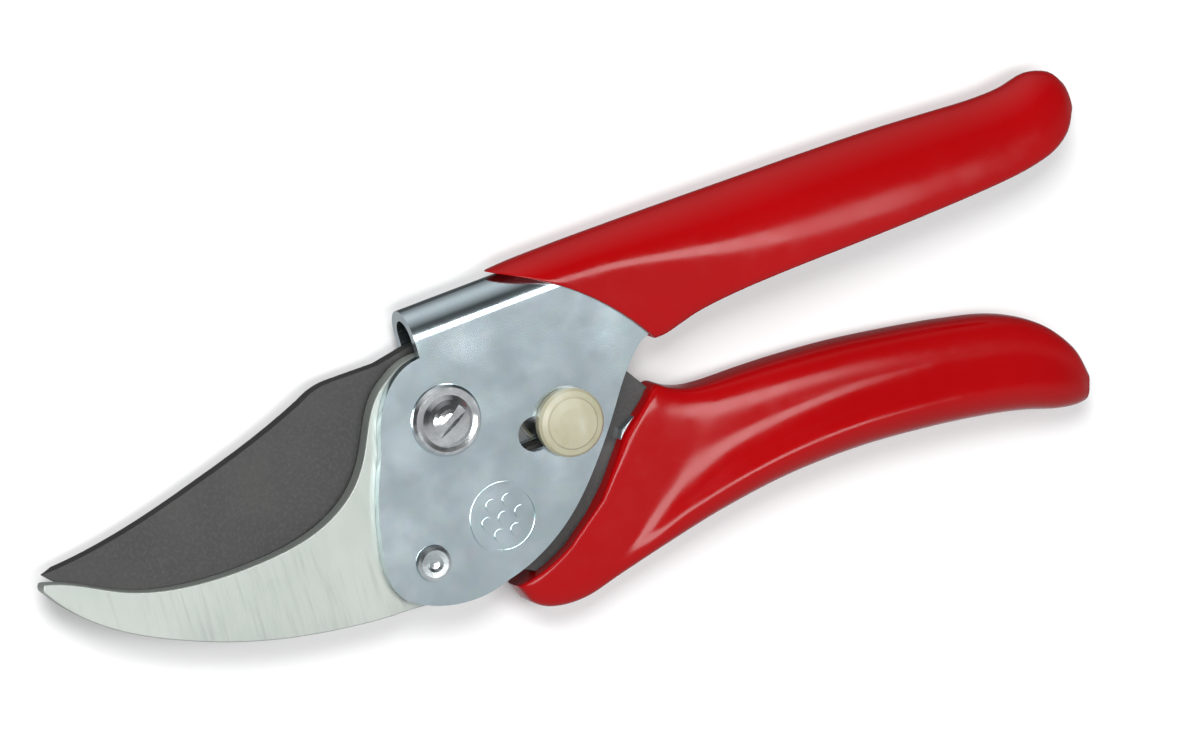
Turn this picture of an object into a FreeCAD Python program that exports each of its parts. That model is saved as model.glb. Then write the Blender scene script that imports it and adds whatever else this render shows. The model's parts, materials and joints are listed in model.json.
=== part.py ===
import FreeCAD, Part
import math
import os

# Bypass pruner with folded steel frame, hook, blade, dipped handles and thumb catch.
#
# Row frame: origin on the pivot axis at the resting plane, +X towards the handles,
# +Y towards the upper handle's back, +Z out of the front side plate. Millimetres.

# Layers of the jaw, from the resting plane up
NUT_H = 3.0
NUT_WASHER_H = 0.6
SHEET = 2.0
BLADE_T = 3.0
HOOK_T = 3.5
BEVEL_W = 2.2
GAP = 0.1
BACK_Z = NUT_H + NUT_WASHER_H
BLADE_Z = BACK_Z + SHEET + GAP
HOOK_Z = BLADE_Z + BLADE_T + GAP
FRONT_Z = HOOK_Z + HOOK_T + GAP
TOP_Z = FRONT_Z + SHEET
MID_Z = (BACK_Z + TOP_Z) / 2
FOLD_R = (TOP_Z - BACK_Z) / 2

# Folded spine and side plates
SPINE_Y = 16.0
MOUTH_X = -1.5
PLATE_END_X = 46.0
OVERRUN = 5.0

# Pivot
BOLT_R = 3.0
RUN = 0.06
BUSH_R = 5.0
BOLT_HEAD_R = 4.9
BOLT_HEAD_H = 2.0
BOLT_SLOT_W = 1.9
BOLT_SLOT_ANGLE = 28.0
WASHER_R = 6.8
WASHER_H = 1.0
NUT_ACROSS = 10.0
NUT_CAP = 1.0
NUT_WASHER_R = 6.2

# Hook rivet and the stamped ring motif
RIVET_AT = (-10.2, -24.8)
RIVET_R = 2.2
RIVET_HEAD_R = 3.5
SPACER_R = 3.8
MOTIF_AT = (5.6, -21.6)
MOTIF_R = 6.9
MOTIF_LINE = 0.9
MOTIF_H = 0.35
PETALS = 6
PETAL_RING_R = 3.4
PETAL_R = 1.25

# Thumb catch
CATCH_AT = (22.7, -8.6)
CATCH_TRAVEL = 6.9
PIN_R = 3.0
STEM_R = 2.0
STEM_LOW = 1.4
STEM_HIGH = TOP_Z + 1.2
SLOT_R = 3.3
BUTTON_R = 6.5
BUTTON_H = 2.9
BACK_BUTTON_R = 5.2
BACK_BUTTON_LOW = 1.2
CATCH_WASHER_R = 4.8
CATCH_WASHER_LOW = BACK_Z - 0.6

# Return spring, upright between the channel's spine and the tang
SPRING_X = 32.6
SPRING_R = 2.6
SPRING_WIRE = 0.65
SPRING_TURNS = 7
LEDGE_Y = -2.4
SEAT_Y = 15.0
SEAT_R = 3.0
SEAT_H = 0.8
STUD_R = 1.2
STUD_NECK_R = 1.7

# Handles
COAT = 1.3
FLARE_R = 35.5
FLARE_Z = (2.8, 12.3)
LOWER_MID_Z = 8.6
STEEL_MID_Z = 6.9
STEEL_THINNER = 3.6
WALL_IN = 2.6
FLARE_SHEET = 1.8
LIP_R = 1.6
OPEN_DROP = 20.0
OBLONG = 0.62

# Upper handle stations: x, back edge y, open edge y, half thickness, length of the round back
UPPER = [
    (8.0, 22.9, -1.4, 6.75, 6.75),
    (28.0, 23.0, -1.2, 6.75, 6.75),
    (44.0, 23.2, -0.1, 7.1, 8.5),
    (58.0, 23.2, 2.8, 8.3, 12.5),
    (74.0, 23.0, 4.0, 9.0, 14.5),
    (98.0, 22.5, 4.4, 9.0, 14.5),
    (116.0, 21.5, 4.6, 8.8, 13.5),
    (124.0, 21.0, 4.8, 8.5, 12.5),
    (129.5, 22.2, 5.3, 7.9, 11.5),
    (134.0, 21.2, 7.2, 6.6, 9.0),
    (136.8, 18.6, 10.2, 4.4, 4.5),
]

# Lower handle stations: x, upper edge y, lower edge y, half thickness
LOWER = [
    (36.0, -15.0, -38.2, 4.8),
    (46.0, -11.2, -36.4, 5.6),
    (56.0, -12.4, -35.0, 7.2),
    (68.0, -13.2, -34.2, 8.2),
    (82.0, -14.6, -34.7, 8.6),
    (96.0, -17.0, -36.4, 8.6),
    (108.0, -19.7, -38.8, 8.3),
    (117.0, -23.6, -41.4, 7.6),
    (122.6, -28.4, -42.9, 6.4),
    (126.4, -34.4, -41.8, 4.2),
]

# Rivets through the tang and the lower handle's steel
TANG_RIVETS = [(30.0, -26.5), (48.0, -24.0)]
TANG_RIVET_R = 2.0
LOWER_SHEET_Z = BLADE_Z + BLADE_T
TANG_RIVET_LOW = BLADE_Z - 0.8
TANG_RIVET_HIGH = LOWER_SHEET_Z + 2.4


def at(x, y, z=0.0):
    return FreeCAD.Vector(x, y, z)


def line(a, b):
    return Part.LineSegment(at(*a), at(*b)).toShape()


def arc(a, through, b):
    return Part.Arc(at(*a), at(*through), at(*b)).toShape()


def curve(*points):
    spline = Part.BSplineCurve()
    spline.interpolate([at(*p) for p in points])
    return spline.toShape()


def polar(radius, degrees):
    return (radius * math.cos(math.radians(degrees)), radius * math.sin(math.radians(degrees)))


def ring_arc(radius, start, end):
    """Arc about the pivot axis, between two angles in degrees."""
    return arc(polar(radius, start), polar(radius, (start + end) / 2), polar(radius, end))


def slab(edges, low, high):
    face = Part.Face(Part.Wire(edges))
    face.translate(at(0, 0, low))
    return face.extrude(at(0, 0, high - low))


def disc(centre, radius, low, high):
    return Part.makeCylinder(radius, high - low, at(centre[0], centre[1], low))


def drill(centre, radius):
    """Round cutter that passes through every layer."""
    return disc(centre, radius, -OVERRUN, TOP_Z + OVERRUN)


def turned(centre, profile, base):
    """Solid of revolution about a vertical axis, from (radius, height) points."""
    points = [at(r, 0, base + h) for r, h in profile]
    wire = Part.makePolygon(points + [points[0]])
    solid = Part.Face(wire).revolve(at(0, 0, 0), at(0, 0, 1), 360)
    solid.translate(at(centre[0], centre[1], 0))
    return solid


def dome_profile(radius, height, steps=6):
    """Radius and height pairs of a shallow dome, rim first."""
    sphere = (radius * radius + height * height) / (2 * height)
    pairs = []
    for i in range(steps + 1):
        r = radius * (1 - i / steps)
        pairs.append((r, math.sqrt(sphere * sphere - r * r) - (sphere - height)))
    return pairs


def edges_at(solid, z):
    """Edges that lie wholly at one height."""
    return [e for e in solid.Edges if abs(e.BoundBox.ZMin - z) < 1e-4 and abs(e.BoundBox.ZMax - z) < 1e-4]


def rounded(solid, z, radius):
    return solid.makeFillet(radius, edges_at(solid, z))


def slot_cut():
    """The catch's slot: two round ends joined by straight sides."""
    inner = (CATCH_AT[0] - CATCH_TRAVEL, CATCH_AT[1])
    depth = TOP_Z + 2 * OVERRUN
    bar = Part.makeBox(CATCH_TRAVEL, 2 * SLOT_R, depth, at(inner[0], inner[1] - SLOT_R, -OVERRUN))
    return bar.fuse([drill(inner, SLOT_R), drill(CATCH_AT, SLOT_R)])


def side_plate(low):
    """One side plate, from the jaw to the start of the handle."""
    edges = [
        line((MOUTH_X, SPINE_Y), (PLATE_END_X, SPINE_Y)),
        line((PLATE_END_X, SPINE_Y), (PLATE_END_X, 2.6)),
        curve((PLATE_END_X, 2.6), (43.6, 1.9), (40.9, 0.9)),
        curve((40.9, 0.9), (35.9, -4.2), (31.3, -10.8), (25.6, -18.2), (19.2, -24.9),
              (11.6, -30.0), (3.0, -33.0)),
        curve((3.0, -33.0), (-4.0, -34.2), (-10.5, -33.2), (-17.0, -30.0)),
        curve((-17.0, -30.0), (-18.9, -26.5), (-18.9, -18.5), (-17.0, -10.0), (-13.9, -1.7)),
        curve((-13.9, -1.7), (-11.4, 5.8), (-7.6, 10.6), (MOUTH_X, 12.9)),
        line((MOUTH_X, 12.9), (MOUTH_X, SPINE_Y)),
    ]
    plate = slab(edges, low, low + SHEET)
    return plate.cut([drill((0, 0), BOLT_R + RUN), drill(RIVET_AT, RIVET_R), slot_cut()])


def folded_spine():
    """Half-round fold that joins the two side plates."""
    length = PLATE_END_X - MOUTH_X
    past = length + 2 * OVERRUN
    outer = Part.makeCylinder(FOLD_R, length, at(MOUTH_X, SPINE_Y, MID_Z), at(1, 0, 0))
    inner = Part.makeCylinder(FOLD_R - SHEET, past, at(MOUTH_X - OVERRUN, SPINE_Y, MID_Z), at(1, 0, 0))
    half = Part.makeBox(past, 2 * FOLD_R, 4 * FOLD_R, at(MOUTH_X - OVERRUN, SPINE_Y, MID_Z - 2 * FOLD_R))
    return outer.cut(inner).common(half)


def channel_section(station, inset, drop):
    """Closed section across the upper handle: round back, straight sides, rounded open edge."""
    x, back, front, half, reach = station
    top = back - inset
    low = front + inset - drop
    h = half - inset
    spring_line = back - reach
    r = min(LIP_R, 0.4 * h)
    c = r * (1 - math.sqrt(0.5))
    points = []
    for i in range(13):
        a = math.pi * i / 12
        points.append(at(x, spring_line + (top - spring_line) * math.sin(a), MID_Z - h * math.cos(a)))
    back_curve = Part.BSplineCurve()
    back_curve.interpolate(points)
    front_z = MID_Z + h
    back_z = MID_Z - h
    edges = [
        back_curve.toShape(),
        line((x, spring_line, front_z), (x, low + r, front_z)),
        arc((x, low + r, front_z), (x, low + c, front_z - c), (x, low, front_z - r)),
        line((x, low, front_z - r), (x, low, back_z + r)),
        arc((x, low, back_z + r), (x, low + c, back_z + c), (x, low + r, back_z)),
        line((x, low + r, back_z), (x, spring_line, back_z)),
    ]
    return Part.Wire(edges)


def upper_loft(inset, drop=0.0, stations=UPPER):
    return Part.makeLoft([channel_section(s, inset, drop) for s in stations], True, True)


def plate_side():
    """Everything on the plate's side of the slanting edge where the coat ends."""
    left = -30.0
    far = 60.0
    edges = [
        line((left, far), (left, -far)),
        line((left, -far), (43.6, -far)),
        line((43.6, -far), (43.6, 0.5)),
        curve((43.6, 0.5), (36.0, 8.3), (28.0, 15.0), (17.0, 20.8)),
        line((17.0, 20.8), (11.0, 23.0)),
        line((11.0, 23.0), (11.0, far)),
        line((11.0, far), (left, far)),
    ]
    return slab(edges, -OPEN_DROP, 2 * OPEN_DROP)


def upper_grip():
    """Dipped coat, open along the channel and cut away over the side plates."""
    opening = upper_loft(COAT + SHEET, OPEN_DROP, UPPER[2:-3])
    return upper_loft(0.0).cut([upper_loft(COAT), opening, plate_side()])


def frame_channel():
    """Steel channel inside the upper grip."""
    steel = UPPER[2:-2]
    return upper_loft(COAT, 0.0, steel).cut(upper_loft(COAT + SHEET, OPEN_DROP, steel))


def motif():
    """Stamped ring with raised petals, on the front side plate."""
    high = TOP_Z + MOTIF_H
    ring = disc(MOTIF_AT, MOTIF_R, TOP_Z, high).cut(drill(MOTIF_AT, MOTIF_R - MOTIF_LINE))
    petals = [disc(MOTIF_AT, PETAL_R, TOP_Z, high)]
    for i in range(PETALS):
        px, py = polar(PETAL_RING_R, 360 * i / PETALS)
        petals.append(disc((MOTIF_AT[0] + px, MOTIF_AT[1] + py), PETAL_R, TOP_Z, high))
    return [ring] + petals


def frame_pressing():
    shell = side_plate(BACK_Z).fuse([side_plate(FRONT_Z), folded_spine(), frame_channel()] + motif())
    return shell.removeSplitter().cut(seat_hole())


def hook():
    edges = [
        curve((-82.6, -2.6), (-80.3, -3.3), (-68.3, -9.3), (-53.8, -13.0), (-40.9, -13.4), (-27.4, -11.0),
              (-19.9, -6.1), (-16.2, -0.7), (-12.4, 6.7), (-8.1, 10.6)),
        arc((-8.1, 10.6), (5.0, 10.8), (9.5, 2.0)),
        curve((9.5, 2.0), (7.6, -12.0), (2.0, -26.0), (-4.0, -32.0), (-12.0, -32.6), (-20.0, -32.1)),
        curve((-20.0, -32.1), (-33.2, -30.4), (-47.6, -26.9), (-61.7, -21.3), (-71.5, -15.8), (-78.6, -9.8),
              (-82.6, -4.7)),
        curve((-82.6, -4.7), (-83.1, -3.5), (-82.6, -2.6)),
    ]
    body = slab(edges, HOOK_Z, HOOK_Z + HOOK_T)
    return body.cut([drill((0, 0), BOLT_R + RUN), drill(RIVET_AT, RIVET_R)])


def blade():
    """Cutting blade and its tang, with the catch's pocket and tooth in the tang's upper edge."""
    inner = (CATCH_AT[0] - CATCH_TRAVEL, CATCH_AT[1])
    tooth_low = inner[1] + PIN_R + 0.25
    floor = inner[1] - PIN_R - 0.35
    tooth_r = 19.5
    boss_r = 14.2
    sweep_r = CATCH_AT[0] + 5.2
    left = inner[0] - PIN_R - 0.3
    tooth_top = polar(tooth_r, -7.5)
    tooth_end = (math.sqrt(tooth_r ** 2 - tooth_low ** 2), tooth_low)
    tooth_mid = polar(tooth_r, -11.5)
    sweep_start = (math.sqrt(sweep_r ** 2 - floor ** 2), floor)
    sweep_end = (math.sqrt(sweep_r ** 2 - LEDGE_Y ** 2), LEDGE_Y)
    edges = [
        curve((-81.6, -1.6), (-60.9, 0.9), (-46.9, 4.3), (-35.5, 7.5), (-24.0, 11.6)),
        curve((-24.0, 11.6), (-20.6, 12.9), (-17.6, 13.2)),
        line((-17.6, 13.2), (-8.0, 13.0)),
        line((-8.0, 13.0), polar(boss_r, 104)),
        arc(polar(boss_r, 104), polar(boss_r, 50), polar(boss_r, -6)),
        line(polar(boss_r, -6), tooth_top),
        arc(tooth_top, tooth_mid, tooth_end),
        line(tooth_end, (left, tooth_low)),
        line((left, tooth_low), (left, floor)),
        line((left, floor), sweep_start),
        arc(sweep_start, polar(sweep_r, -14), sweep_end),
        line(sweep_end, (36.5, LEDGE_Y)),
        line((36.5, LEDGE_Y), (42.2, -10.8)),
        line((42.2, -10.8), (60.0, -19.5)),
        line((60.0, -19.5), (60.0, -27.0)),
        line((60.0, -27.0), (38.0, -32.0)),
        line((38.0, -32.0), (15.0, -37.5)),
        line((15.0, -37.5), (7.5, -33.5)),
        line((7.5, -33.5), (8.5, -25.0)),
        line((8.5, -25.0), (3.4, -13.4)),
        line((3.4, -13.4), (-16.0, -13.6)),
        curve((-16.0, -13.6), (-28.0, -17.2), (-41.0, -18.2), (-56.0, -16.4), (-70.0, -10.9), (-81.6, -1.6)),
    ]
    body = slab(edges, BLADE_Z, BLADE_Z + BLADE_T)
    low_edges = edges_at(body, BLADE_Z)
    cutting_edge = [e for e in low_edges if e.BoundBox.XMax < -15.5 and e.BoundBox.YMax < -1.5]
    body = body.makeChamfer(BEVEL_W, cutting_edge)
    return body.cut([drill((0, 0), BUSH_R)] + [drill(centre, TANG_RIVET_R) for centre in TANG_RIVETS])


def oval_section(station, inset, middle_z, thinner, drop):
    """Closed section across the lower handle, a rounded oblong; drop lengthens it downwards."""
    x, high, low, half = station
    width = high - low - 2 * inset
    h = half - thinner
    middle = (high + low) / 2
    points = []
    for i in range(20):
        a = 2 * math.pi * i / 20
        y = math.copysign(abs(math.cos(a)) ** OBLONG, math.cos(a)) * width / 2
        z = math.copysign(abs(math.sin(a)) ** OBLONG, math.sin(a)) * h
        z = z - drop if z < 0 else z
        points.append(at(x, middle + y, middle_z + z))
    spline = Part.BSplineCurve()
    spline.interpolate(points, PeriodicFlag=True)
    return Part.Wire([spline.toShape()])


def lower_loft(inset, middle_z, thinner, drop=0.0, stations=LOWER):
    return Part.makeLoft([oval_section(s, inset, middle_z, thinner, drop) for s in stations], True, True)


def flare(inset, low, high):
    """Flat root of the lower handle, with its edge struck about the pivot."""
    r = FLARE_R + inset
    start = polar(r, -24)
    end = polar(r, -80)
    edges = [
        ring_arc(r, -24, -80),
        curve(end, (7.6 + inset * 0.6, -39.2 + inset * 0.4), (10.6 + inset * 0.5, -42.2 + inset)),
        curve((10.6 + inset * 0.5, -42.2 + inset), (17.0, -43.2 + inset), (25.5, -41.1 + inset),
              (38.5, -37.6 + inset), (60.0, -34.4 + inset)),
        line((60.0, -34.4 + inset), (60.0, -12.0 - inset)),
        curve((60.0, -12.0 - inset), (46.5, -10.7 - inset), (43.4 + inset * 0.2, -9.2 - inset)),
        curve((43.4 + inset * 0.2, -9.2 - inset), (41.6 + inset * 0.6, -8.9 - inset),
              (40.2 + inset, -9.9 - inset * 0.6)),
        line((40.2 + inset, -9.9 - inset * 0.6), start),
    ]
    return slab(edges, low, high)


def lower_steel():
    """Front web of the lower handle: flat flare on the tang, then a channel open to the back."""
    plate = flare(COAT, LOWER_SHEET_Z, LOWER_SHEET_Z + FLARE_SHEET)
    steel = LOWER[2:-2]
    outer = lower_loft(WALL_IN, STEEL_MID_Z, STEEL_THINNER, 0.0, steel)
    inner = lower_loft(WALL_IN + SHEET, STEEL_MID_Z, STEEL_THINNER + SHEET, OPEN_DROP, steel)
    return plate, outer, inner


def lower_handle_pressing():
    plate, outer, inner = lower_steel()
    shell = plate.fuse(outer.cut(inner))
    return shell.cut([drill(centre, TANG_RIVET_R) for centre in TANG_RIVETS] + [blade()])


def lower_grip():
    low, high = FLARE_Z
    plate, outer, inner = lower_steel()
    body = flare(0.0, low, high).fuse(lower_loft(0.0, LOWER_MID_Z, 0.0))
    lined = lower_loft(WALL_IN + SHEET, STEEL_MID_Z, STEEL_THINNER + SHEET, OPEN_DROP, LOWER[3:-2])
    return body.cut([plate, outer.cut(inner), lined, blade()] + tang_rivet_list())


def tang_rivet_list():
    return [disc(centre, TANG_RIVET_R, TANG_RIVET_LOW, TANG_RIVET_HIGH) for centre in TANG_RIVETS]


def tang_rivets():
    return Part.makeCompound(tang_rivet_list())


def hook_rivet():
    peened = [(0, 0.5), (1.0, 0.7), (1.6, 1.1), (2.6, 1.15), (3.3, 0.7), (RIVET_HEAD_R, 0), (0, 0)]
    head = turned(RIVET_AT, peened, TOP_Z)
    tail = disc(RIVET_AT, RIVET_HEAD_R - 0.3, BACK_Z - 1.0, BACK_Z)
    return head.fuse([tail, disc(RIVET_AT, RIVET_R, BACK_Z, TOP_Z)])


def rivet_spacer():
    return disc(RIVET_AT, SPACER_R, BACK_Z + SHEET, HOOK_Z).cut(drill(RIVET_AT, RIVET_R))


def pivot_bolt():
    head = turned((0, 0), dome_profile(BOLT_HEAD_R, BOLT_HEAD_H) + [(0, 0)], TOP_Z + WASHER_H)
    slot = Part.makeBox(20, BOLT_SLOT_W, 3, at(-10, -BOLT_SLOT_W / 2, TOP_Z + WASHER_H + BOLT_HEAD_H - 1.0))
    slot.rotate(at(0, 0, 0), at(0, 0, 1), BOLT_SLOT_ANGLE)
    return head.cut(slot).fuse(disc((0, 0), BOLT_R, NUT_CAP, TOP_Z + WASHER_H))


def pivot_washer():
    rim = WASHER_R
    dish = [(BOLT_R + RUN, 0), (rim, 0), (rim, 0.5), (rim - 0.5, WASHER_H + 0.25),
            (rim - 1.0, WASHER_H + 0.25), (BOLT_HEAD_R + 0.1, WASHER_H), (BOLT_R + RUN, WASHER_H)]
    return turned((0, 0), dish, TOP_Z)


def pivot_nut():
    corners = [at(*polar(NUT_ACROSS / math.sqrt(3), 60 * i + 15), 0) for i in range(7)]
    nut = Part.Face(Part.makePolygon(corners)).extrude(at(0, 0, NUT_H))
    return nut.cut(disc((0, 0), BOLT_R + RUN, NUT_CAP, TOP_Z))


def nut_washer():
    return disc((0, 0), NUT_WASHER_R, NUT_H, BACK_Z).cut(drill((0, 0), BOLT_R + RUN))


def pivot_bush():
    return disc((0, 0), BUSH_R, BLADE_Z, BLADE_Z + BLADE_T).cut(drill((0, 0), BOLT_R + RUN))


def spring_seat():
    """Stepped stud riveted inside the spine, which the spring sits on."""
    base = SPINE_Y + FOLD_R - SHEET
    down = at(0, -1, 0)
    shank = Part.makeCylinder(STUD_R, SHEET + 1.0, at(SPRING_X, base + SHEET, MID_Z), down)
    flange = Part.makeCylinder(SEAT_R, SEAT_H, at(SPRING_X, SEAT_Y + SEAT_H, MID_Z), down)
    neck = Part.makeCylinder(STUD_NECK_R, base - SEAT_Y, at(SPRING_X, base - 0.5, MID_Z), down)
    return shank.fuse([flange, neck])


def seat_hole():
    """Hole in the spine for the stud's shank."""
    return Part.makeCylinder(STUD_R, 2 * FOLD_R, at(SPRING_X, SPINE_Y + SHEET, MID_Z), at(0, 1, 0))


def return_spring():
    top = SEAT_Y - SPRING_WIRE - 0.05
    bottom = LEDGE_Y + SPRING_WIRE + 0.05
    pitch = (top - bottom) / SPRING_TURNS
    helix = Part.makeHelix(pitch, top - bottom, SPRING_R)
    section = Part.Wire([Part.makeCircle(SPRING_WIRE, at(SPRING_R, 0, 0), at(0, 1, 0))])
    coil = Part.Wire(helix.Edges).makePipeShell([section], True, True)
    coil.rotate(at(0, 0, 0), at(1, 0, 0), -90)
    coil.translate(at(SPRING_X, bottom, MID_Z))
    return coil


def catch_button():
    profile = [(0, 0), (BUTTON_R, 0), (BUTTON_R, 1.6), (BUTTON_R - 0.5, 2.2), (5.0, 2.45), (4.7, 2.75),
               (3.0, BUTTON_H), (0, BUTTON_H + 0.1)]
    return turned(CATCH_AT, profile, TOP_Z + GAP).cut(disc(CATCH_AT, STEM_R, 0, STEM_HIGH))


def catch_pin():
    shank = disc(CATCH_AT, PIN_R, BACK_Z - GAP, TOP_Z + GAP)
    return shank.fuse(disc(CATCH_AT, STEM_R, STEM_LOW, STEM_HIGH))


def catch_back_button():
    plate = disc(CATCH_AT, BACK_BUTTON_R, BACK_BUTTON_LOW, CATCH_WASHER_LOW)
    return rounded(plate, BACK_BUTTON_LOW, 0.6).cut(disc(CATCH_AT, STEM_R, STEM_LOW, TOP_Z))


def catch_washer():
    return disc(CATCH_AT, CATCH_WASHER_R, CATCH_WASHER_LOW, BACK_Z - GAP).cut(drill(CATCH_AT, STEM_R))


NODES = {
    "frame_pressing": frame_pressing,
    "upper_grip": upper_grip,
    "hook": hook,
    "hook_rivet": hook_rivet,
    "rivet_spacer": rivet_spacer,
    "pivot_bolt": pivot_bolt,
    "pivot_washer": pivot_washer,
    "pivot_nut": pivot_nut,
    "nut_washer": nut_washer,
    "pivot_bush": pivot_bush,
    "spring_seat": spring_seat,
    "return_spring": return_spring,
    "blade": blade,
    "lower_handle_pressing": lower_handle_pressing,
    "lower_grip": lower_grip,
    "tang_rivets": tang_rivets,
    "catch_button": catch_button,
    "catch_pin": catch_pin,
    "catch_back_button": catch_back_button,
    "catch_washer": catch_washer,
}


def main():
    os.makedirs("parts", exist_ok=True)
    for name, make in NODES.items():
        shape = make()
        shape.exportStep(f"parts/{name}.step")
        print(name, len(shape.Solids), shape.isValid(), round(shape.Volume, 1))


main()
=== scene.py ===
"""Looks of the bypass pruner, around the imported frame. Metres; MM turns millimetres into metres."""
import json
import math

import bmesh
import bpy
from mathutils import Matrix, Vector

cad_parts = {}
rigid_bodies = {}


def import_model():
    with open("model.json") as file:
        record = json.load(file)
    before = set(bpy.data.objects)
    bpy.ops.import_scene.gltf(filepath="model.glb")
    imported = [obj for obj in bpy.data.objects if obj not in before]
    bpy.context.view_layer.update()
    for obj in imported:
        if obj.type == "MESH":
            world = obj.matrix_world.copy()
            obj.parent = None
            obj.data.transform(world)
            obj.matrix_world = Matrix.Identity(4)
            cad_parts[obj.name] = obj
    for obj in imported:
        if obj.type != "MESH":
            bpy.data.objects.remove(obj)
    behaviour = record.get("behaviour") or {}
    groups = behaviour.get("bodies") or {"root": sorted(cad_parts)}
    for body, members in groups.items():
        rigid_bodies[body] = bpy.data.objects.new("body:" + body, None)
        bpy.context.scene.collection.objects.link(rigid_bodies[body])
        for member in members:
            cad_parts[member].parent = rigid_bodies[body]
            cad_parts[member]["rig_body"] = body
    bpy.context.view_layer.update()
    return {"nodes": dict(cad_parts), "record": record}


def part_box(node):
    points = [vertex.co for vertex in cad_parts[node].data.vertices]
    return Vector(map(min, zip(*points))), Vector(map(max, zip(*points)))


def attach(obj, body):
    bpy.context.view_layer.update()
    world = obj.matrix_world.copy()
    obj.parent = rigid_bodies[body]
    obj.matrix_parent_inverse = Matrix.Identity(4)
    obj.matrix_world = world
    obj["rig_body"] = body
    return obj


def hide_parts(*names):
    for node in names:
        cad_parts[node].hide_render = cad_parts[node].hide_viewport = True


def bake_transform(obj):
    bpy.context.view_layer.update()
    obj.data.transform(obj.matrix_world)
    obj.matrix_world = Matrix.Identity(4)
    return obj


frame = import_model()
MM = 0.001

PLATE_TOP = 14.4
MID_Z = 9.0


# ---------------------------------------------------------------- node helpers

class Shader:
    """A Principled material with short calls for the nodes used here."""

    def __init__(self, name):
        self.mat = bpy.data.materials.new(name)
        self.mat.use_nodes = True
        self.tree = self.mat.node_tree
        self.bsdf = self.tree.nodes["Principled BSDF"]
        self.coords = self.tree.nodes.new("ShaderNodeTexCoord").outputs["Object"]

    def set(self, **values):
        for key, value in values.items():
            self.bsdf.inputs[key.replace("_", " ")].default_value = value
        return self

    def link(self, a, b):
        self.tree.links.new(a, b)

    def stretched(self, scale):
        node = self.tree.nodes.new("ShaderNodeMapping")
        node.inputs["Scale"].default_value = scale
        self.link(self.coords, node.inputs["Vector"])
        return node.outputs["Vector"]

    def noise(self, scale, detail=3.0, rough=0.5, vector=None):
        node = self.tree.nodes.new("ShaderNodeTexNoise")
        node.inputs["Scale"].default_value = scale
        node.inputs["Detail"].default_value = detail
        node.inputs["Roughness"].default_value = rough
        self.link(vector or self.coords, node.inputs["Vector"])
        return node.outputs["Fac"]

    def cells(self, scale, vector=None):
        node = self.tree.nodes.new("ShaderNodeTexVoronoi")
        node.inputs["Scale"].default_value = scale
        self.link(vector or self.coords, node.inputs["Vector"])
        return node.outputs["Color"]

    def span(self, value, low, high, start=0.3, end=0.7):
        node = self.tree.nodes.new("ShaderNodeMapRange")
        node.inputs["From Min"].default_value = start
        node.inputs["From Max"].default_value = end
        node.inputs["To Min"].default_value = low
        node.inputs["To Max"].default_value = high
        self.link(value, node.inputs["Value"])
        return node.outputs["Result"]

    def ramp(self, value, *stops):
        node = self.tree.nodes.new("ShaderNodeValToRGB")
        ramp = node.color_ramp
        while len(ramp.elements) < len(stops):
            ramp.elements.new(0.5)
        for element, (place, colour) in zip(ramp.elements, stops):
            element.position = place
            element.color = (*colour, 1.0)
        self.link(value, node.inputs["Fac"])
        return node.outputs["Color"]

    def mix(self, fac, a, b):
        node = self.tree.nodes.new("ShaderNodeMix")
        node.data_type = "RGBA"
        if isinstance(fac, float):
            node.inputs["Factor"].default_value = fac
        else:
            self.link(fac, node.inputs["Factor"])
        for socket, value in ((node.inputs["A"], a), (node.inputs["B"], b)):
            if isinstance(value, tuple):
                socket.default_value = (*value, 1.0)
            else:
                self.link(value, socket)
        return node.outputs["Result"]

    def edges(self, low=0.52, high=0.62):
        node = self.tree.nodes.new("ShaderNodeNewGeometry")
        return self.span(node.outputs["Pointiness"], 0.0, 1.0, low, high)

    def bump(self, height, strength, distance, under=None):
        node = self.tree.nodes.new("ShaderNodeBump")
        node.inputs["Strength"].default_value = strength
        node.inputs["Distance"].default_value = distance
        self.link(height, node.inputs["Height"])
        if under is not None:
            self.link(under, node.inputs["Normal"])
        self.link(node.outputs["Normal"], self.bsdf.inputs["Normal"])
        return node.outputs["Normal"]

    def colour(self, socket):
        self.link(socket, self.bsdf.inputs["Base Color"])

    def rough(self, socket):
        self.link(socket, self.bsdf.inputs["Roughness"])


# ---------------------------------------------------------------- materials

def zinc_plate():
    """Bright zinc plating: spangle patches, fine rolling lines, a faint blue cast."""
    s = Shader("zinc_plate").set(Metallic=1.0)
    patches = s.noise(95.0, 4.0, 0.6)
    spangle = s.cells(420.0)
    base = s.ramp(patches, (0.30, (0.56, 0.67, 0.71)), (0.52, (0.585, 0.695, 0.735)),
                  (0.74, (0.61, 0.72, 0.755)))
    s.colour(s.mix(0.025, base, spangle))
    lines = s.noise(900.0, 2.0, 0.5, s.stretched((0.06, 1.0, 1.0)))
    s.rough(s.span(patches, 0.15, 0.22))
    under = s.bump(lines, 0.10, 0.00004)
    s.bump(s.noise(260.0, 3.0), 0.16, 0.00008, under)
    return s.mat


def hook_steel():
    """Satin steel ground across the hook, with scratches along the grind."""
    s = Shader("hook_steel").set(Metallic=0.65)
    cloud = s.noise(60.0, 3.0)
    s.colour(s.ramp(cloud, (0.3, (0.335, 0.365, 0.34)), (0.7, (0.38, 0.41, 0.38))))
    grind = s.noise(1500.0, 2.0, 0.6, s.stretched((1.0, 0.05, 1.0)))
    s.rough(s.span(grind, 0.30, 0.46))
    s.bump(grind, 0.18, 0.00004)
    return s.mat


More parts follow.
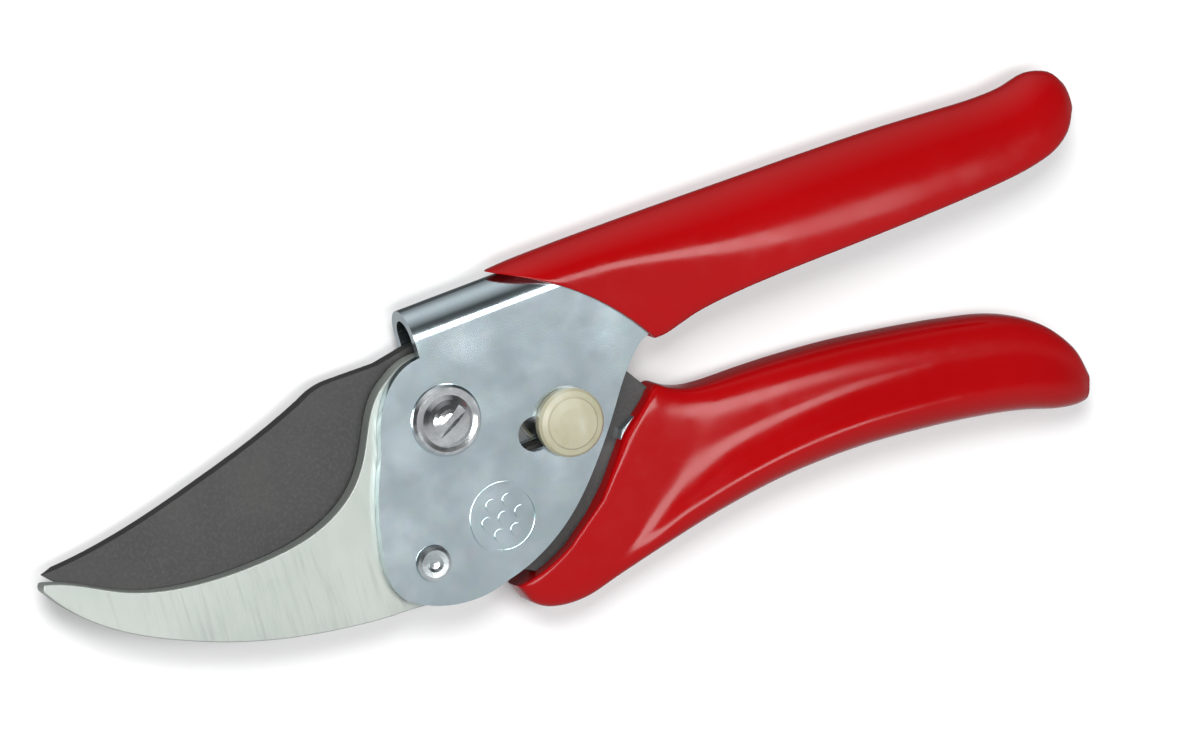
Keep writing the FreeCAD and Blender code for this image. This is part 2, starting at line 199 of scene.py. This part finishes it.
def blade_coating():
    """Dark grey low-friction coating with fine speckle, rubbed at the edges."""
    s = Shader("blade_coating").set(Metallic=0.35, Specular_IOR_Level=0.5)
    speckle = s.noise(1400.0, 2.0, 0.7)
    cloud = s.noise(70.0, 3.0)
    dark = s.ramp(cloud, (0.3, (0.028, 0.028, 0.029)), (0.7, (0.037, 0.036, 0.035)))
    worn = s.mix(s.edges(0.55, 0.66), dark, (0.15, 0.15, 0.15))
    s.colour(s.mix(s.span(speckle, 0.0, 0.35, 0.45, 0.75), worn, (0.075, 0.075, 0.075)))
    s.rough(s.span(speckle, 0.36, 0.5))
    s.bump(speckle, 0.22, 0.00005)
    return s.mat


def red_vinyl():
    """Glossy dipped vinyl: deep red, slow ripples of the dip, faint scuffs."""
    s = Shader("red_vinyl").set(IOR=1.5, Specular_IOR_Level=0.24)
    depth = s.noise(24.0, 2.0)
    s.colour(s.ramp(depth, (0.3, (0.222, 0.0008, 0.0014)), (0.7, (0.250, 0.0012, 0.0021))))
    scuff = s.noise(220.0, 4.0, 0.65)
    s.rough(s.span(scuff, 0.13, 0.24, 0.35, 0.75))
    ripple = s.noise(52.0, 1.0, 0.4)
    under = s.bump(ripple, 0.14, 0.0006)
    s.bump(s.noise(1700.0, 1.0), 0.04, 0.00003, under)
    return s.mat


def polished(name, colour, rough_low, rough_high):
    """Plated small parts: a little tarnish in colour and roughness, and a fine bump."""
    s = Shader(name).set(Metallic=1.0)
    tarnish = s.noise(320.0, 4.0, 0.6)
    darker = tuple(0.78 * c for c in colour)
    s.colour(s.mix(s.span(tarnish, 0.0, 1.0), darker, colour))
    s.rough(s.span(tarnish, rough_low, rough_high))
    s.bump(s.noise(1300.0, 2.0), 0.08, 0.00003)
    return s.mat


def catch_plastic():
    """Ivory moulded plastic with flow marks and a fine moulded grain."""
    s = Shader("catch_plastic").set(IOR=1.48, Subsurface_Weight=0.06, Subsurface_Scale=0.002)
    flow = s.noise(160.0, 3.0, 0.55, s.stretched((1.0, 0.5, 1.0)))
    s.colour(s.ramp(flow, (0.3, (0.26, 0.25, 0.165)), (0.55, (0.30, 0.29, 0.21)), (0.75, (0.36, 0.36, 0.30))))
    s.rough(s.span(flow, 0.24, 0.38))
    s.bump(s.noise(2200.0, 2.0), 0.10, 0.00003)
    return s.mat


MATERIALS = {
    "zinc_plate": zinc_plate(),
    "hook_steel": hook_steel(),
    "blade_coating": blade_coating(),
    "red_vinyl": red_vinyl(),
    "chrome": polished("chrome", (0.74, 0.77, 0.78), 0.10, 0.22),
    "rivet_steel": polished("rivet_steel", (0.66, 0.72, 0.74), 0.20, 0.34),
    "spring_steel": polished("spring_steel", (0.40, 0.40, 0.41), 0.28, 0.42),
    "bronze": polished("bronze", (0.60, 0.42, 0.24), 0.30, 0.46),
    "catch_plastic": catch_plastic(),
}


def dress(obj, slot):
    obj.data.materials.clear()
    obj.data.materials.append(MATERIALS[slot])


SLOTS = {entry["node"]: entry["material_slot"] for entry in frame["record"]["subparts"]}
for node, slot_name in SLOTS.items():
    dress(frame["nodes"][node], slot_name)


# ---------------------------------------------------------------- mesh helpers

def along(keys, place):
    """Catmull-Rom value of a list of equal-length tuples, at a place counted in keys."""
    i = max(0, min(len(keys) - 2, int(place)))
    f = place - i
    before = keys[max(0, i - 1)]
    after = keys[min(len(keys) - 1, i + 2)]
    out = []
    for p0, p1, p2, p3 in zip(before, keys[i], keys[i + 1], after):
        out.append(0.5 * (2 * p1 + (p2 - p0) * f + (2 * p0 - 5 * p1 + 4 * p2 - p3) * f * f
                          + (3 * p1 - p0 - 3 * p2 + p3) * f ** 3))
    return out


def smooth_step(low, high, value):
    f = max(0.0, min(1.0, (value - low) / (high - low)))
    return f * f * (3 - 2 * f)


def drawn_in(ring, tip):
    """Copy of a ring, three quarters of the way to a point."""
    return [tuple((p + 3 * q) / 4 for p, q in zip(point, tip)) for point in ring]


def body_from_rings(name, rings, slot):
    """Skin over closed rings of equal length, closed at both ends."""
    mesh = bpy.data.meshes.new(name)
    bm = bmesh.new()
    rows = [[bm.verts.new(Vector(p) * MM) for p in ring] for ring in rings]
    count = len(rows[0])
    for a, b in zip(rows, rows[1:]):
        for i in range(count):
            j = (i + 1) % count
            bm.faces.new((a[i], a[j], b[j], b[i]))
    for row in (rows[0], rows[-1]):
        bm.faces.new(row)
    bmesh.ops.triangulate(bm, faces=[f for f in bm.faces if len(f.verts) > 4])
    bmesh.ops.recalc_face_normals(bm, faces=bm.faces)
    bm.to_mesh(mesh)
    bm.free()
    for poly in mesh.polygons:
        poly.use_smooth = True
    obj = bpy.data.objects.new(name, mesh)
    bpy.context.scene.collection.objects.link(obj)
    dress(obj, slot)
    return obj


# ---------------------------------------------------------------- upper grip

# Stations: back edge x y, open edge x y, half thickness, length of the round back, bow of the station
UPPER_KEYS = [
    (17.0, 22.6, 43.4, 0.5, 6.75, 12.6, 2.8),
    (22.0, 22.9, 45.8, 0.6, 6.85, 12.8, 2.5),
    (28.0, 23.0, 48.8, 1.4, 7.05, 13.2, 2.1),
    (35.0, 23.0, 52.8, 2.5, 7.5, 13.8, 1.5),
    (44.0, 22.9, 58.0, 3.3, 8.1, 14.4, 0.9),
    (56.0, 22.7, 65.0, 3.9, 8.7, 14.8, 0.4),
    (70.0, 22.4, 75.0, 4.2, 8.95, 15.4, 0.0),
    (84.0, 22.1, 86.0, 4.3, 8.95, 16.0, 0.0),
    (98.0, 21.6, 98.0, 4.5, 8.95, 16.2, 0.0),
    (109.0, 20.9, 109.0, 4.8, 8.8, 15.6, 0.0),
    (118.0, 20.3, 117.5, 5.2, 8.6, 14.8, 0.0),
    (124.6, 20.4, 123.5, 5.8, 8.3, 14.4, 0.0),
    (130.2, 21.4, 129.0, 7.0, 7.7, 13.4, 0.0),
    (134.6, 20.1, 133.2, 9.2, 6.3, 10.2, 0.0),
    (136.5, 17.6, 135.9, 12.2, 4.2, 5.4, 0.0),
]
UPPER_TIP = (136.6, 15.0, MID_Z)
COAT = 1.3
OUTER_STEPS = 44
INNER_STEPS = 20
# The channel runs from the first station to this one. Past it a small share of the cavity is left.
CHANNEL_END = 12.0
CAVITY_LIMIT = 0.93
CAVITY_CLOSED = 0.12
CAVITY_LEAST = 0.35
LIP_LONG = 1.4
LIP_DEEP = 0.9


def station_point(key, t):
    """Point on the line from a station's first edge to its second, bowed sideways."""
    tx, ty, bx, by = key[:4]
    bow = key[-1] * 4 * t * (1 - t)
    length = math.hypot(bx - tx, by - ty)
    nx, ny = -(by - ty) / length, (bx - tx) / length
    return tx + (bx - tx) * t + nx * bow, ty + (by - ty) * t + ny * bow


def grip_half(key, t):
    """Half thickness of the upper grip at a share of its depth: round back, flat wall, soft open edge."""
    depth = math.hypot(key[2] - key[0], key[3] - key[1])
    reach = min(key[5] / depth, 0.999)
    w = max(0.0, 1 - t / reach)
    half = key[4] * (1 - w ** 2.1) ** 0.5
    lip = max(0.0, (t - 1) * depth / LIP_LONG + 1)
    return half - LIP_DEEP * (1 - math.sqrt(max(0.0, 1 - lip * lip)))


def upper_ring(place, thin=0.0):
    key = along(UPPER_KEYS, place)
    ring = []
    for i in range(OUTER_STEPS + 1):
        a = i / OUTER_STEPS * 2 - 1
        t = 0.5 * (1 - math.cos(math.pi * abs(a)))
        x, y = station_point(key, t)
        z = grip_half(key, t) - (thin if t > 0.001 else 0.0)
        ring.append((x, y, MID_Z + math.copysign(max(z, 0.02), -a)))
    hollow = 1.0 - smooth_step(CHANNEL_END, CHANNEL_END + 1.0, place)
    depth = math.hypot(key[2] - key[0], key[3] - key[1])
    start = COAT / depth
    for i in range(INNER_STEPS + 1):
        a = 1 - 2 * i / INNER_STEPS
        t = start + (1 - start) * abs(a) ** 0.8
        t = 1 - (1 - t) * hollow
        x, y = station_point(key, t)
        cavity = grip_half(key, min(t, CAVITY_LIMIT)) - COAT * 0.9
        z = max(CAVITY_LEAST, cavity * (CAVITY_CLOSED + (1 - CAVITY_CLOSED) * hollow))
        z = z * min(1.0, abs(a) * 3.0)
        ring.append((x, y, MID_Z - math.copysign(z, a)))
    return ring


def upper_grip():
    places = [0.0, 0.04, 0.12] + [0.25 * i for i in range(1, 4 * (len(UPPER_KEYS) - 1) + 1)]
    thins = {0.0: 0.75, 0.04: 0.3, 0.12: 0.05}
    rings = [upper_ring(p, thins.get(p, 0.0)) for p in places]
    rings.append(drawn_in(rings[-1], UPPER_TIP))
    obj = body_from_rings("upper_grip_coat", rings, "red_vinyl")
    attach(obj, "frame")
    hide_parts("upper_grip")


# ---------------------------------------------------------------- lower grip

# Stations: upper edge x y, lower edge x y, back z, ledge z, rise to the crest, edge squareness, bow
LOWER_KEYS = [
    (40.6, -9.8, 5.4, -35.7, 2.8, 12.2, 0.0, 0.30, 3.6),
    (42.6, -9.1, 7.2, -39.6, 2.6, 12.3, 0.0, 0.30, 3.3),
    (45.3, -10.8, 11.0, -42.1, 2.4, 12.4, 0.0, 0.32, 2.9),
    (48.6, -12.1, 17.4, -42.7, 2.1, 12.5, 0.0, 0.34, 2.4),
    (52.0, -12.6, 25.2, -40.9, 1.8, 12.6, 0.5, 0.38, 1.8),
    (56.0, -12.8, 35.5, -38.5, 1.3, 12.8, 1.6, 0.44, 1.1),
    (62.0, -13.0, 47.5, -36.1, 0.7, 13.0, 2.6, 0.50, 0.6),
    (70.0, -13.5, 61.5, -34.5, 0.2, 13.2, 3.0, 0.55, 0.2),
    (80.0, -14.5, 76.5, -34.4, 0.1, 13.2, 3.2, 0.58, 0.0),
    (91.0, -16.2, 90.5, -35.7, 0.1, 13.1, 3.2, 0.60, 0.0),
    (102.0, -18.3, 102.5, -37.6, 0.1, 12.9, 3.0, 0.62, 0.0),
    (112.0, -21.0, 111.0, -39.6, 0.3, 12.6, 2.6, 0.64, 0.0),
    (119.8, -25.5, 117.6, -41.8, 0.9, 12.0, 2.0, 0.66, 0.0),
    (124.8, -31.8, 121.8, -42.7, 1.9, 10.8, 1.2, 0.70, 0.0),
    (126.4, -37.6, 124.0, -42.7, 3.8, 9.6, 0.5, 0.80, 0.0),
]
LOWER_TIP = (125.6, -41.2, 6.8)
ROUND_STEPS = 84
NOSE_PLACE = 3.2
NOSE_LONG = 1.6
CREST_SHARE = 0.80
FACE_SHARE = 0.34
ROOT_R = 36.4
CORNER_SHARE = 0.30


def rise(place, t):
    """Share of the crest's rise: a slanting face between a foot line and a crest line, round at its nose."""
    if place <= NOSE_PLACE:
        return 0.0
    open_share = min(1.0, (place - NOSE_PLACE) / NOSE_LONG)
    wide = math.sqrt(1 - (1 - open_share) ** 2)
    crest = CREST_SHARE - 0.01 * max(0.0, place - 7)
    foot = crest - (FACE_SHARE + 0.03 * max(0.0, min(3.0, place - 6.5))) * wide
    return smooth_step(foot, crest, t) * wide


def to_root_arc(x, y, place, t):
    """Draw the first rings onto the arc about the pivot where the coat ends, clear of its top corner."""
    pull = max(0.0, 1.0 - place) * smooth_step(0.0, CORNER_SHARE, t)
    scale = 1.0 + (ROOT_R / math.hypot(x, y) - 1.0) * pull
    return x * scale, y * scale


def lower_ring(place, thin=0.0):
    key = along(LOWER_KEYS, place)
    back, ledge, gain, square = key[4:8]
    ring = []
    for i in range(ROUND_STEPS):
        a = 2 * math.pi * i / ROUND_STEPS
        across = math.copysign(abs(math.cos(a)) ** square, math.cos(a))
        up = abs(math.sin(a)) ** square
        t = 0.5 * (1 - across)
        x, y = to_root_arc(*station_point(key, t), place, t)
        middle = (back + ledge) / 2
        if math.sin(a) >= 0:
            top = ledge + gain * rise(place, t)
            z = middle + (top - middle - thin) * up
        else:
            z = middle - (middle - back - thin) * up
        ring.append((x, y, z))
    return ring


def lower_grip():
    places = [0.0, 0.1, 0.25, 0.45] + [0.125 * i for i in range(5, 8 * (len(LOWER_KEYS) - 1) + 1)]
    thins = {0.0: 1.3, 0.1: 0.65, 0.25: 0.25, 0.45: 0.05}
    rings = [lower_ring(p, thins.get(p, 0.0)) for p in places]
    rings.append(drawn_in(rings[-1], LOWER_TIP))
    obj = body_from_rings("lower_grip_coat", rings, "red_vinyl")
    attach(obj, "blade_arm")
    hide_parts("lower_grip")


# ---------------------------------------------------------------- return spring

WIRE_R = 0.65
COIL_TURNS = 7
TURN_STEPS = 24
WIRE_STEPS = 10


def return_spring():
    """Coil that stretches between the stud in the spine and the ledge of the tang."""
    low, high = (Vector(corner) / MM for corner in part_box("return_spring"))
    middle = (low + high) / 2
    radius = (high.x - low.x) / 2 - WIRE_R
    first = high.y - WIRE_R
    length = high.y - low.y - 2 * WIRE_R
    climb = length / (2 * math.pi * COIL_TURNS * radius)
    steps = COIL_TURNS * TURN_STEPS
    rings = []
    for i in range(steps + 1):
        a = 2 * math.pi * COIL_TURNS * i / steps
        out = Vector((math.cos(a), 0.0, math.sin(a)))
        forward = Vector((-math.sin(a), -climb, math.cos(a))).normalized()
        side = forward.cross(out)
        centre = Vector((middle.x, first - length * i / steps, middle.z)) + out * radius
        ring = []
        for k in range(WIRE_STEPS):
            b = 2 * math.pi * k / WIRE_STEPS
            ring.append(centre + (out * math.cos(b) + side * math.sin(b)) * WIRE_R)
        rings.append(ring)
    obj = body_from_rings("return_coil", rings, "spring_steel")
    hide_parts("return_spring")
    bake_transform(obj)


# ---------------------------------------------------------------- pressed and ground metal

MERGE_DISTANCE = 2e-6
FLAT_ANGLE = math.radians(0.6)
EDGE_ANGLE = math.radians(28.0)
FACE_WEIGHT = 90


def softened(node, name, width, segments):
    """Copy of a metal part with its sharp edges rounded over, which stands for the part."""
    source = frame["nodes"][node]
    mesh = source.data.copy()
    mesh.name = name
    bm = bmesh.new()
    bm.from_mesh(mesh)
    bmesh.ops.remove_doubles(bm, verts=bm.verts, dist=MERGE_DISTANCE)
    bmesh.ops.dissolve_limit(bm, angle_limit=FLAT_ANGLE, verts=bm.verts, edges=bm.edges)
    bm.to_mesh(mesh)
    bm.free()
    obj = bpy.data.objects.new(name, mesh)
    bpy.context.scene.collection.objects.link(obj)
    bevel = obj.modifiers.new("edge", "BEVEL")
    bevel.width = width * MM
    bevel.segments = segments
    bevel.limit_method = "ANGLE"
    bevel.angle_limit = EDGE_ANGLE
    for poly in mesh.polygons:
        poly.use_smooth = True
    mesh.set_sharp_from_angle(angle=EDGE_ANGLE)
    weighted = obj.modifiers.new("flat_faces", "WEIGHTED_NORMAL")
    weighted.keep_sharp = False
    weighted.weight = FACE_WEIGHT
    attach(obj, source["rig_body"])
    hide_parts(node)


upper_grip()
lower_grip()
return_spring()
softened("frame_pressing", "frame_shell", 0.55, 3)
softened("hook", "hook_ground", 0.35, 2)
softened("blade", "blade_ground", 0.25, 2)


# ---------------------------------------------------------------- camera, light, floor

TILT = math.radians(23.0)
LEAN = math.radians(140.5)
ROLL = math.radians(18.6)
CAMERA_FAR = 3.0
VIEW_WIDTH = 0.2222
VIEW_RIGHT = 0.0285
VIEW_UP = 0.0091


def set_camera():
    """Nearly overhead, leaning towards the jaw and the upper handle's back; long lens."""
    lean = Vector((math.cos(LEAN), math.sin(LEAN), 0.0))
    away = lean * math.sin(TILT) + Vector((0, 0, 1)) * math.cos(TILT)
    up_lean = lean * math.cos(TILT) - Vector((0, 0, 1)) * math.sin(TILT)
    side = Vector((math.sin(LEAN), -math.cos(LEAN), 0.0))
    turn = LEAN + ROLL
    right = side * math.sin(turn) + up_lean * math.cos(turn)
    up = -side * math.cos(turn) + up_lean * math.sin(turn)
    centre = Vector((0, 0, PLATE_TOP * MM)) + right * VIEW_RIGHT + up * VIEW_UP
    cam = bpy.data.objects.new("camera", bpy.data.cameras.new("camera"))
    basis = Matrix((right, up, away)).transposed().to_4x4()
    cam.matrix_world = Matrix.Translation(centre + away * CAMERA_FAR) @ basis
    cam.data.lens = 36.0 * CAMERA_FAR / VIEW_WIDTH
    cam.data.dof.use_dof = False
    bpy.context.scene.collection.objects.link(cam)
    bpy.context.scene.camera = cam


def area_light(name, place, aim, size, power, glossy=True):
    data = bpy.data.lights.new(name, "AREA")
    data.shape = "RECTANGLE"
    data.size, data.size_y = size
    data.energy = power
    lamp = bpy.data.objects.new(name, data)
    lamp.location = place
    lamp.rotation_euler = (Vector(aim) - Vector(place)).to_track_quat("-Z", "Y").to_euler()
    lamp.visible_glossy = glossy
    bpy.context.scene.collection.objects.link(lamp)


WORLD_GREYS = ((0.0, 0.7), (0.30, 0.55), (0.43, 0.42), (0.56, 0.12), (0.80, 0.07), (0.93, 0.5), (1.0, 0.9))


def set_world():
    """Studio surround: mid grey behind the lower handle, dark beyond the upper one, pale horizon."""
    world = bpy.data.worlds.new("studio")
    bpy.context.scene.world = world
    world.use_nodes = True
    tree = world.node_tree
    coords = tree.nodes.new("ShaderNodeTexCoord")
    split = tree.nodes.new("ShaderNodeSeparateXYZ")
    tree.links.new(coords.outputs["Generated"], split.inputs["Vector"])
    across = tree.nodes.new("ShaderNodeMapRange")
    across.inputs["From Min"].default_value = -1.0
    tree.links.new(split.outputs["Y"], across.inputs["Value"])
    ramp = tree.nodes.new("ShaderNodeValToRGB")
    while len(ramp.color_ramp.elements) < len(WORLD_GREYS):
        ramp.color_ramp.elements.new(0.5)
    for element, (place, grey) in zip(ramp.color_ramp.elements, WORLD_GREYS):
        element.position = place
        element.color = (grey, grey, grey * 1.02, 1.0)
    tree.links.new(across.outputs["Result"], ramp.inputs["Fac"])
    tree.links.new(ramp.outputs["Color"], tree.nodes["Background"].inputs["Color"])
    tree.nodes["Background"].inputs["Strength"].default_value = 1.0


def set_lights():
    centre = (0.03, 0.0, 0.0)
    area_light("strip", (-0.10, 0.03, 0.95), (-0.10, 0.0, 0.0), (1.04, 0.24), 7.5)
    area_light("key", (-0.18, 0.62, 0.9), centre, (0.5, 0.5), 14.0, glossy=False)


FLOOR_HALF = 3.0


def floor():
    mesh = bpy.data.meshes.new("floor")
    signs = ((-1, -1), (1, -1), (1, 1), (-1, 1))
    corners = [(FLOOR_HALF * x, FLOOR_HALF * y, 0) for x, y in signs]
    mesh.from_pydata(corners, [], [(0, 1, 2, 3)])
    obj = bpy.data.objects.new("floor", mesh)
    bpy.context.scene.collection.objects.link(obj)
    s = Shader("floor_paper").set(Roughness=0.9, Specular_IOR_Level=0.1)
    s.colour(s.ramp(s.noise(8.0, 2.0), (0.3, (0.68, 0.68, 0.68)), (0.7, (0.70, 0.70, 0.70))))
    obj.data.materials.append(s.mat)
    obj.visible_glossy = False


set_camera()
set_world()
set_lights()
floor()
scene = bpy.context.scene
scene.view_settings.view_transform = "Standard"
